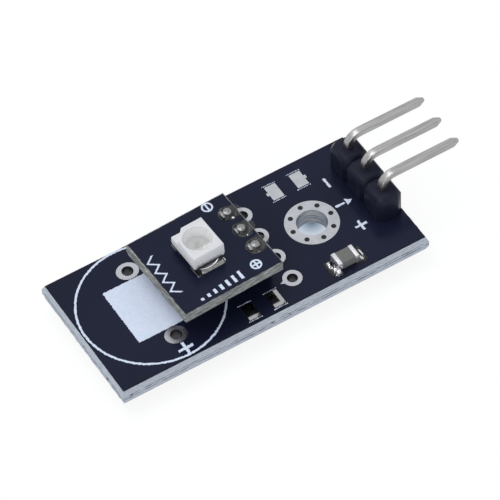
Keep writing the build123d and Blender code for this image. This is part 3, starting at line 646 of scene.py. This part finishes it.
# %% Package body and foot
package_foot = 5.2 * mm
package_spot = (-0.4 * mm, 0.25 * mm, 0)
on_package = on_sensor @ Matrix.Translation(package_spot)
mesh = frame_mesh("photodiode_housing")
everything = mesh.verts[:] + mesh.edges[:] + mesh.faces[:]
cut = {"plane_co": (0, 0, package_foot), "plane_no": (0, 0, -1)}
bmesh.ops.bisect_plane(mesh, geom=everything, clear_outer=True, **cut)
bmesh.ops.holes_fill(mesh, edges=[e for e in mesh.edges if e.is_boundary], sides=0)
ease(mesh, 0.06, sharper_than=25)
foot_size = (2.1 * mm, 2.6 * mm, 0.5 * mm, 1)
foot = Matrix.Translation((0, 0, package_foot - 0.18 * mm)) @ Matrix.Diagonal(foot_size)
bmesh.ops.create_cube(mesh, size=1, matrix=on_package @ foot)
add_piece("moulded_package", mesh, [white_package], "diode_plastic", "photodiode_housing")

# %% [markdown]
# ## Clear resin, die and wire
# The cup is filled with clear epoxy. Through it the white floor of the cup, a silicon die and its
# bond wire show faintly. A see-through coat is enough here: a partly transparent skin with a
# gloss, which casts no shadow into the cup, keeps the light in it, where true refraction would
# leave it dark.

# %% Resin, silicon and gold
clear_resin, shader, place = new_material(
    "clear_potting_epoxy", Base_Color=linear("#fafbf7"), Roughness=0.12, Specular_IOR_Level=0.4
)
in_shadow = add_node(clear_resin, "ShaderNodeLightPath").outputs["Is Shadow Ray"]
cover = {"To_Min": 0.27, "To_Max": 0.0}
add_node(clear_resin, "ShaderNodeMapRange", {"Value": in_shadow}, shader.inputs["Alpha"], **cover)
finish(clear_resin, "photodiode_resin")
skin_spot = middle("photodiode_resin")
skin_spot.z = corners("photodiode_resin")[1].z - 0.04 * mm
skin_radius, skin_thickness, skin_dip = 1.2 * mm, 0.012 * mm, 0.03 * mm
mesh = bmesh.new()
skin = bmesh.ops.create_uvsphere(mesh, u_segments=48, v_segments=12, radius=1)["verts"]
for vert in skin:
    x, y, z = vert.co
    hollow = -skin_dip * (1 - min(1, vert.co.xy.length) ** 2)
    vert.co = skin_spot + Vector((x * skin_radius, y * skin_radius, z * skin_thickness + hollow))
add_piece("resin_meniscus", mesh, [clear_resin], "clear_resin", "photodiode_resin", crisp=180)
die = {"Base_Color": linear("#0d0e10"), "Roughness": 0.3, "Specular_IOR_Level": 0.2}
finish(new_material("polished_silicon", **die)[0], "photodiode_chip")
wire = {"Base_Color": linear("#dcc69a"), "Metallic": 1.0, "Roughness": 0.3}
finish(new_material("bonded_gold_wire", **wire)[0], "photodiode_bond_wire")

# %% [markdown]
# ## Chip parts
# A chip capacitor is fired ceramic, matt and grey-tan, with ends dipped in silver paste and
# plated with tin. The paste leaves a rounded, slightly uneven cap.

# %% Ceramic and plated ends
ceramic, shader, place = new_material("fired_grey_ceramic", Roughness=0.55, Specular_IOR_Level=0.35)
speck = add_node(ceramic, noise_node, {"Vector": place}, Scale=per_mm / 0.08, **plain_noise)
ceramic_greys = [(0.3, "#60625f"), (0.7, "#747671")]
add_node(ceramic, ramp_node, {"Fac": speck}, shader.inputs["Base Color"], ceramic_greys)
finish(ceramic, "capacitor_body", "small_chip_bodies")
plated_end, shader, place = new_material("tin_on_silver_paste", Metallic=0.85, Roughness=0.38)
speck = add_node(plated_end, noise_node, {"Vector": place}, Scale=per_mm / 0.2, **rich_noise)
end_greys = [(0.3, "#bfbec4"), (0.7, "#e2e1e6")]
add_node(plated_end, ramp_node, {"Fac": speck}, shader.inputs["Base Color"], end_greys)
add_node(plated_end, bump_node, {"Height": speck}, shader.inputs["Normal"], Distance=0.02 * mm)
finish(plated_end, "capacitor_ends", "small_chip_ends")
eased_copy("dipped_ends", "capacitor_ends", plated_end, "tinned_pin", 0.09, segments=4)

# %% [markdown]
# ## Solder and flux
# Solder that froze bright is nearly a mirror and shows the dark board on every slope and the
# white room on every level part. Where it froze slowly, or flux lies on it, it is dull. Flux
# itself is a brownish glassy film that creeps over the mask around a joint.

# %% Bright solder, dull solder and flux
bright_solder, shader, place = new_material(
    "bright_reflowed_solder", Base_Color=linear("#d9d9dc"), Metallic=1.0, Roughness=0.1
)
uneven_skin(bright_solder, shader, place, 0.2, 0.012, detail=2)
dull_solder, shader, place = new_material("dull_hand_solder", Metallic=1.0, Roughness=0.34)
skin = add_node(
    dull_solder, noise_node, {"Vector": place}, Scale=per_mm / 0.16, Detail=4, Roughness=0.65
)
dull_greys = [(0.3, "#6a6b6d"), (0.7, "#9d9d9d")]
add_node(dull_solder, ramp_node, {"Fac": skin}, shader.inputs["Base Color"], dull_greys)
add_node(dull_solder, bump_node, {"Height": skin}, shader.inputs["Normal"], Distance=0.02 * mm)
flux = new_material(
    "rosin_flux_film",
    Base_Color=linear("#6a6966"),
    Roughness=0.25,
    Specular_IOR_Level=0.25,
    Alpha=0.16,
)[0]
# Dark solder: partly solder under flux, partly painted shade and dark reflection on the pads, the
# skirts of the link joints and the walls of the domed pads.
flux_and_shade_solder, shader, place = new_material(
    "solder_under_flux_and_painted_shade", Roughness=0.18, Specular_IOR_Level=0.3
)
stain = add_node(flux_and_shade_solder, noise_node, {"Vector": place}, Scale=per_mm / 0.25, **plain_noise)
flux_and_shade_darks = [(0.35, "#17181d"), (0.62, "#2a2a2a"), (0.75, "#454440")]
add_node(flux_and_shade_solder, ramp_node, {"Fac": stain}, shader.inputs["Base Color"], flux_and_shade_darks)
add_node(flux_and_shade_solder, bump_node, {"Height": stain}, shader.inputs["Normal"], Distance=0.03 * mm)
finish(bright_solder, "header_solder", "link_solder_bottom")
finish(dull_solder, "photodiode_anode_lead", "photodiode_cathode_lead")
finish(flux_and_shade_solder, "sensor_diode_pads", "capacitor_pads", "sensor_plated_holes")
reflection_mottled_solder, shader, place = new_material("solder_with_painted_dark_reflections", Roughness=0.12)
# Patches of the solder are near black and not metallic: painted dark reflection on the mirror
# solder.
patch = add_node(
    reflection_mottled_solder, noise_node, {"Vector": place}, Scale=per_mm / 0.3, Detail=3, Roughness=0.55
)
share = [(0.44, "#000000"), (0.5, "#ffffff")]
add_node(reflection_mottled_solder, ramp_node, {"Fac": patch}, shader.inputs["Metallic"], share)
shine_and_painted_reflection = [(0.43, "#131317"), (0.5, "#c9c9cf"), (0.7, "#e9e9ee")]
add_node(reflection_mottled_solder, ramp_node, {"Fac": patch}, shader.inputs["Base Color"], shine_and_painted_reflection)
add_node(
    reflection_mottled_solder, bump_node, {"Height": patch}, shader.inputs["Normal"], Distance=0.03 * mm
)

# %% Solder helpers: a lump, a fillet and a bead
def lump(mesh, spot, size, uneven, seed, floor_at=None):
    """A drop of solder: a ball drawn to a size, with an uneven skin and an optional flat base."""
    ball = bmesh.ops.create_icosphere(mesh, subdivisions=4, radius=1)["verts"]
    for vert in ball:
        wave = noise.fractal(vert.co * 1.3 + Vector((seed, seed, seed)), 0.9, 2.0, 3)
        vert.co *= 1 + wave * uneven
        vert.co = vert.co * size + spot
        if floor_at is not None:
            vert.co.z = max(vert.co.z, floor_at)


def fillet(mesh, corner, out, width, run, climb, uneven, seed, base):
    """Solder that climbs a wall: a hollow slope from corner outwards, width along the wall.

    climb is a function of the share along the wall and gives the height there. base is the level
    of the pad.
    """
    along = out.cross(Vector((0, 0, 1)))
    sheet = bmesh.ops.create_grid(mesh, x_segments=30, y_segments=18, size=0.5)["verts"]
    for vert in sheet:
        across, reach = vert.co.x + 0.5, vert.co.y + 0.5
        edge = 1 - abs(2 * across - 1) ** 6
        spread = run * (0.82 + 0.18 * edge)
        wave = noise.noise(Vector((across * 3, reach * 3, seed))) * uneven
        hollow = climb(across) * (1 - reach) ** 2.4 * (0.55 + 0.45 * edge)
        height = hollow + wave * (1 - reach) * edge
        spot = corner + along * width * (across - 0.5) * (1 + 0.1 * reach) + out * spread * reach
        height += 0.02 * mm * (1 - reach ** 8) * edge
        vert.co = Vector((spot.x, spot.y, base + max(0.01 * mm, height)))
    for vert in extruded(mesh, faces_of(sheet)):
        vert.co.z = base


def bead(mesh, spots, radii):
    """A round bead along a few points, closed at both ends."""
    ring = bmesh.ops.create_circle(mesh, cap_ends=True, segments=12, radius=1)["verts"]
    first = ring[0].link_faces[0]
    frames = []
    for index, spot in enumerate(spots):
        ahead = (spots[min(index + 1, len(spots) - 1)] - spots[max(index - 1, 0)]).normalized()
        frames.append(Matrix.Translation(spot) @ ahead.to_track_quat("Z", "Y").to_matrix().to_4x4())
    outline = [vert.co.copy() for vert in ring]
    for vert, co in zip(ring, outline):
        vert.co = frames[0] @ (co * radii[0])
    edges, order = list(first.edges), list(ring)
    for frame_now, radius in zip(frames[1:], radii[1:]):
        step = bmesh.ops.extrude_edge_only(mesh, edges=edges)["geom"]
        fresh = [g for g in step if isinstance(g, bmesh.types.BMVert)]
        old_place = {v: min(order, key=lambda o: (o.co - v.co).length) for v in fresh}
        pairs = {old_place[v]: v for v in fresh}
        order = [pairs[o] for o in order]
        for vert, co in zip(order, outline):
            vert.co = frame_now @ (co * radius)
        edges = [g for g in step if isinstance(g, bmesh.types.BMEdge)]
        edges = [edge for edge in edges if all(v in fresh for v in edge.verts)]
    bmesh.ops.contextual_create(mesh, geom=edges)


# %% [markdown]
# ## The three joints of the link
# Each pin end stands a little proud of its joint. The iron came from the left, so the solder
# crests there in a small separate lobe with a crease before the pin, and flux ran to the right as
# far as the board's edge. The third joint was reheated and is rounder and cloudier.

# %% Link joints
pin_ends = [middle(f"link_pin_{number}") for number in (1, 2, 3)]
for spot in pin_ends:
    spot.z = sensor_mask_level
pin_ends.sort(key=lambda spot: -spot.y)
pin_top = corners("link_pin_1")[1].z
board_x = (sensor_turn @ Vector((1, 0, 0))).normalized()
board_y = (sensor_turn @ Vector((0, 1, 0))).normalized()
crown = pin_top - sensor_mask_level


def turned(mesh, spot, profile):
    """A solid of revolution about an upright axis through spot, from (radius, height) pairs."""
    chain = [mesh.verts.new(spot + Vector((radius, 0, height))) for radius, height in profile]
    line = [mesh.edges.new(pair) for pair in zip(chain, chain[1:])]
    about = {"cent": spot, "axis": (0, 0, 1), "angle": 2 * pi, "steps": 40}
    bmesh.ops.spin(mesh, geom=chain + line, use_merge=True, use_duplicate=False, **about)


# radius and height of the profiles' corners, length, width and height of the lobes
crown_profile = [
    (0.0, crown + 0.008 * mm),
    (0.3 * mm, crown + 0.008 * mm),
    (0.35 * mm, crown - 0.03 * mm),
    (0.37 * mm, crown - 0.1 * mm),
    (0.36 * mm, 0.05 * mm),
    (0.0, 0.05 * mm),
]
skirt_profile = [
    (0.0, crown - 0.08 * mm),
    (0.41 * mm, crown - 0.08 * mm),
    (0.47 * mm, crown - 0.17 * mm),
    (0.57 * mm, 0.04 * mm),
    (0.66 * mm, 0.012 * mm),
    (0.68 * mm, -0.03 * mm),
    (0.0, -0.03 * mm),
]
lobe_sizes = [(0.19, 0.38, 0.2), (0.16, 0.34, 0.19), (0.26, 0.36, 0.22)]
crowns, skirts = bmesh.new(), bmesh.new()
for number, spot in enumerate(pin_ends):
    turned(crowns, spot, crown_profile)
    turned(skirts, spot, skirt_profile)
    lobe_size = Vector(lobe_sizes[number]) * mm
    lobe_spot = spot - board_x * 0.47 * mm + Vector((0, 0, crown - 0.15 * mm))
    lump(crowns, lobe_spot, lobe_size, 0.06, number * 3.1)
    if number == 2:
        blob = Vector((0.05 * mm, -0.05 * mm, crown - 0.14 * mm))
        lump(crowns, spot + blob, Vector((0.36, 0.34, 0.17)) * mm, 0.1, 9)
for mesh in (crowns, skirts):
    bmesh.ops.remove_doubles(mesh, verts=mesh.verts, dist=0.001 * mm)
add_piece("link_crowns", crowns, [dull_solder], "solder", "link_solder_top", crisp=40)
# The skirts take the dark solder: partly flux, partly painted shade and dark reflection.
add_piece("link_skirts", skirts, [flux_and_shade_solder], "solder", "link_solder_top", crisp=40)

# %% Small bright drips at the foot of the joints
mesh = bmesh.new()
# joint, shift along and across the board, size
drips = [
    (0, 0.12, -0.62, 0.13),
    (0, 0.22, -0.72, 0.07),
    (1, 0.1, -0.78, 0.08),
    (2, -0.1, -0.72, 0.06),
]
for number, shift_x, shift_y, size in drips:
    spot = pin_ends[number] + (board_x * shift_x + board_y * shift_y) * mm
    spot.z += 0.02 * mm
    lump(mesh, spot, Vector((size * 0.7, size, 0.07)) * mm, 0.15, size * 40)
add_piece("link_drips", mesh, [bright_solder], "solder")

# %% Flux around the joints
def flux_film(mesh, spot, size, thick_mm, seed):
    """A thin uneven puddle."""
    puddle = bmesh.ops.create_uvsphere(mesh, u_segments=72, v_segments=12, radius=1)["verts"]
    for vert in puddle:
        flat = Vector((vert.co.x, vert.co.y, 0))
        way = flat.normalized() * 1.7 + Vector((seed, 0, seed)) if flat.length else flat
        wobble = 1 + 0.16 * noise.noise(way)
        reach = board_x * vert.co.x * size[0] * wobble + board_y * vert.co.y * size[1] * wobble
        vert.co = spot + reach * mm + Vector((0, 0, vert.co.z * thick_mm * mm))


mesh = bmesh.new()
# joint, shift along and across the board, half lengths, seed
films = [
    (0, (0.55, -0.1), (0.72, 0.62), 1.0),
    (1, (0.55, 0.0), (0.74, 0.66), 4.0),
    (1, (0.1, -0.45), (0.62, 0.5), 6.0),
    (2, (0.5, 0.1), (0.8, 0.72), 9.0),
    (2, (0.0, -0.1), (0.86, 0.8), 12.0),
]
for number, (shift_x, shift_y), size, seed in films:
    spot = pin_ends[number] + (board_x * shift_x + board_y * shift_y) * mm
    spot.z += (0.036 + seed * 0.0012) * mm
    flux_film(mesh, spot, size, 0.012, seed)
add_piece("link_flux", mesh, [flux], "clear_resin", crisp=180)

# %% [markdown]
# ## Photodiode joints
# The package's leads are bent flat at its foot and wetted by reflow. In front, the solder hangs
# in a bright sickle from one end of the lead to the other and runs out over a dull pad.

# %% Photodiode joints
seat = corners("photodiode_solder")[0].z
front = 1.66 * mm
# place along the lead and height of the solder's rim, in mm
sickle_points = [
    (-1.17, 0.83),
    (-0.98, 0.5),
    (-0.75, 0.34),
    (-0.33, 0.22),
    (0.1, 0.21),
    (0.4, 0.29),
    (0.61, 0.42),
    (0.82, 0.63),
    (0.98, 0.9),
]
sickle_radii = (0.02, 0.045, 0.06, 0.075, 0.085, 0.08, 0.07, 0.05, 0.03)


def arc_height(across_mm):
    """Height of the solder's upper rim, a hanging arc."""
    for (x_a, h_a), (x_b, h_b) in zip(sickle_points, sickle_points[1:]):
        if across_mm <= x_b:
            return (h_a + (h_b - h_a) * max(0, across_mm - x_a) / (x_b - x_a)) * mm
    return sickle_points[-1][1] * mm


mesh = bmesh.new()
joint_width = 2.0
for side in (-1, 1):
    wall = on_package @ Vector((0.2 * mm, side * front, seat))
    climb = lambda share: arc_height((share - 0.5) * joint_width * -side + 0.2)
    size = (joint_width * mm, 0.38 * mm)
    fillet(mesh, wall, board_y * side, *size, climb, 0.05 * mm, 2.0 + side, seat)
add_piece("photodiode_joints", mesh, [dull_solder], "solder", "photodiode_solder", crisp=50)

mesh = bmesh.new()
for side in (-1, 1):
    path = []
    for x, h in sickle_points:
        ahead = 0.04 + 0.12 * max(0, 1 - h / 0.6)
        path.append(on_package @ Vector((x * mm, side * (front + ahead * mm), seat + h * mm)))
    bead(mesh, path, [radius * mm for radius in sickle_radii])
    streak_spot = on_package @ Vector((1.32 * mm, side * (front + 0.06 * mm), seat + 0.12 * mm))
    lump(mesh, streak_spot, Vector((0.06, 0.2, 0.08)) * mm, 0.1, 3)
add_piece("photodiode_sickle", mesh, [bright_solder], "solder", crisp=60)

# %% [markdown]
# ## Capacitor joints
# Reflow left the two ends different. On the left the solder balled up and ran forward in a lumpy
# mirror, on the right it drew out into a small hollow wedge.

# %% Capacitor joints
ends_low, ends_high = corners("capacitor_ends")
seat = corners("capacitor_solder")[0].z
end_middle = (ends_low.y + ends_high.y) / 2
mesh = bmesh.new()
# corner's x and y, way out, width, run, crest, its share at the ends, unevenness, seed
wedges = [
    (ends_high.x - 0.04 * mm, end_middle - 0.08 * mm, 1, 1.0, 0.62, 0.5, 0.35, 0.05, 1.0),
    (ends_low.x + 0.04 * mm, end_middle, -1, 1.15, 0.5, 0.6, 0.4, 0.12, 7.0),
]
for x, y, way, width, run, crest, least, uneven, seed in wedges:
    climb = lambda share: crest * mm * (least + (1 - least) * sin(pi * share))
    corner, out = Vector((x, y, seat)), Vector((way, 0, 0))
    fillet(mesh, corner, out, width * mm, run * mm, climb, uneven * mm, seed, seat)
# place from the left end's near corner, size, unevenness, seed
blobs = [
    ((-0.05, 0.12, 0.1), (0.34, 0.3, 0.26), 0.32, 2.2),
    ((-0.1, -0.22, 0), (0.3, 0.24, 0.14), 0.3, 5.4),
    ((0.22, 0, 0.3), (0.14, 0.09, 0.24), 0.3, 8.1),
]
near_corner = Vector((ends_low.x, ends_low.y, seat))
for shift, size, uneven, seed in blobs:
    lump(mesh, near_corner + Vector(shift) * mm, Vector(size) * mm, uneven, seed, seat)
add_piece("capacitor_joints", mesh, [reflection_mottled_solder], "solder", "capacitor_solder", crisp=60)

# %% Flux specks around the capacitor
mesh = bmesh.new()
for angle in range(0, 360, 24):
    turn = radians(angle)
    shift = Vector((0.14 + cos(turn) * 2.0, sin(turn) * 1.05, 0)) * mm
    spot = Vector((0, end_middle, mask_level)) + shift
    grow = 0.5 + 0.6 * noise.noise(spot / (0.6 * mm))
    lump(mesh, spot, Vector((0.1 * grow, 0.1 * grow, 0.03)) * mm, 0.3, angle)
add_piece("capacitor_flux", mesh, [flux], "clear_resin", crisp=180)

# %% [markdown]
# ## Bare pads in front
# The two bare pads near the front edge carry a level, mirror-smooth coat of solder with a
# slightly rounded rim. They reflect the underside of the sensor board, so they look dark except
# at the rim. Their upright walls are painted dark: painted shade.

# %% Domed pads
mirror_tin, shader, place = new_material(
    "smooth_levelled_solder", Base_Color=linear("#a6a7a9"), Metallic=1.0, Roughness=0.16
)
uneven_skin(mirror_tin, shader, place, 0.35, 0.006, detail=2)
mesh = bmesh.new()
pad_low, pad_high = corners("lower_spare_pads")
pad_size = Vector((1.03 * mm, 1.55 * mm, 0))
slope_width, crest_height, rim_height = 0.34 * mm, 0.055 * mm, 0.012 * mm
for centre_x in (pad_low.x + pad_size.x / 2, pad_high.x - pad_size.x / 2):
    centre = Vector((centre_x, (pad_low.y + pad_high.y) / 2, mask_level))
    pad = bmesh.ops.create_grid(mesh, x_segments=20, y_segments=28, size=0.5)["verts"]
    for vert in pad:
        spot = Vector((vert.co.x * pad_size.x, vert.co.y * pad_size.y, 0))
        to_front, to_right = spot.y + pad_size.y / 2, pad_size.x / 2 - spot.x
        fall = 0.13 * max(0, slope_width - to_front) + 0.12 * max(0, slope_width - to_right)
        vert.co = centre + spot + Vector((0, 0, max(rim_height, crest_height - fall)))
    for vert in extruded(mesh, faces_of(pad)):
        vert.co.z = mask_level - 0.01 * mm
mesh.normal_update()
# Upright walls take the dark solder: painted shade.
for face in mesh.faces:
    face.material_index = int(abs(face.normal.z) < 0.7)
add_piece(
    "domed_pads", mesh, [mirror_tin, flux_and_shade_solder], "tinned_land", "lower_spare_pads", crisp=60
)

# %% [markdown]
# ## Floor, background and light
# The photograph is a white studio shot. The floor is white paper: to the lens, to gloss and
# through glass most of its white is its own, and the rest is the light that falls on it, so it
# keeps a faint shadow of the part. Under the mounting hole a soft patch of it glows dusky blue:
# painted shade, standing for the shaded paper there. The floor is clear from below, so the
# underside can be looked at. Lamps and world light the object at a plain level.

# %% A share for rays that look, and the floor
def looking_rays(material):
    """1 where a ray comes from the lens, a reflection or through glass."""
    path = add_node(material, "ShaderNodeLightPath")
    rays = {0: path.outputs["Is Camera Ray"], 1: path.outputs["Is Glossy Ray"]}
    first = add_node(material, "ShaderNodeMath", rays, operation="MAXIMUM")
    rays = {0: first, 1: path.outputs["Is Transmission Ray"]}
    return add_node(material, "ShaderNodeMath", rays, operation="MAXIMUM")


floor_size = 4.0
floor_mesh = bmesh.new()
bmesh.ops.create_grid(floor_mesh, x_segments=1, y_segments=1, size=floor_size / 2)
bmesh.ops.translate(floor_mesh, verts=floor_mesh.verts, vec=(0, 0, cad_box[0][2]))
floor_data = bpy.data.meshes.new("studio_floor")
floor_mesh.to_mesh(floor_data)
floor_mesh.free()
floor = bpy.data.objects.new("studio_floor", floor_data)
bpy.context.scene.collection.objects.link(floor)

paper, lit_paper, place = new_material(
    "white_paper_floor", Base_Color=linear("#fbfcfe"), Roughness=0.9
)
glow = add_node(paper, "ShaderNodeEmission", Color=linear("#ffffff"), Strength=1.03)
part_lit = add_node(paper, "ShaderNodeMixShader", {1: lit_paper, 2: glow}, Fac=0.85)
# A glowing patch under the mounting hole: painted shade of the paper there.
hole_shade_glow = add_node(paper, "ShaderNodeEmission", Strength=0.95)
patch_centre = Vector((1.22, 2.12, 0)) * mm
patch_radius = 2.7 * mm
from_hole = add_node(
    paper,
    "ShaderNodeMapping",
    {"Vector": place},
    Location=-patch_centre / patch_radius,
    Scale=[1 / patch_radius] * 3,
)
flat = add_node(paper, "ShaderNodeVectorMath", {0: from_hole}, operation="MULTIPLY")
flat.inputs[1].default_value = (1, 1, 0)
away = add_node(paper, "ShaderNodeVectorMath", {0: flat}, operation="LENGTH")
painted_shade_blues = [(0.06, "#65758a"), (0.22, "#94a3b4"), (0.45, "#c3cedb"), (0.8, "#eaf0f8")]
distance = away.outputs["Value"]
add_node(paper, ramp_node, {"Fac": distance}, hole_shade_glow.inputs["Color"], painted_shade_blues)
ring = [(0.8, "#ffffff"), (1.0, "#000000")]
hole_share = add_node(paper, ramp_node, {"Fac": distance}, stops=ring)
shown = add_node(paper, "ShaderNodeMixShader", {0: hole_share, 1: part_lit, 2: hole_shade_glow})
seen = add_node(paper, "ShaderNodeMixShader", {0: looking_rays(paper), 1: lit_paper, 2: shown})
below = add_node(paper, "ShaderNodeNewGeometry").outputs["Backfacing"]
clear = add_node(paper, "ShaderNodeBsdfTransparent")
mix = add_node(paper, "ShaderNodeMixShader", {0: below, 1: seen, 2: clear})
output = [n for n in paper.node_tree.nodes if n.type == "OUTPUT_MATERIAL"][0]
paper.node_tree.links.new(mix.outputs[0], output.inputs["Surface"])
floor_data.materials.append(paper)

# %% World and lamps
world = bpy.data.worlds.new("studio_world")
bpy.context.scene.world = world
world.use_nodes = True
world.node_tree.nodes.clear()
sky = add_node(world, "ShaderNodeBackground", Color=linear("#f2f6fc"), Strength=0.62)
white = add_node(world, "ShaderNodeBackground", Color=linear("#ffffff"), Strength=1.0)
mix = add_node(world, "ShaderNodeMixShader", {0: looking_rays(world), 1: sky, 2: white})
add_node(world, "ShaderNodeOutputWorld", {"Surface": mix})


def softbox(name, place, target, size, power):
    """A square area lamp that faces a point."""
    data = bpy.data.lights.new(name, "AREA")
    data.size = size
    data.energy = power
    lamp = bpy.data.objects.new(name, data)
    aim = (Vector(target) - Vector(place)).to_track_quat("-Z", "Y")
    lamp.matrix_world = Matrix.Translation(place) @ aim.to_matrix().to_4x4()
    bpy.context.scene.collection.objects.link(lamp)


target = (Vector(cad_box[0]) + Vector(cad_box[1])) / 2
box_width = 0.3
softbox("softbox_above", (-0.12, 0.12, 0.45), target, box_width, 0.78)
softbox("softbox_front", (-0.25, -0.35, 0.25), target, box_width, 0.5)
bpy.context.scene.view_settings.view_transform = "Standard"
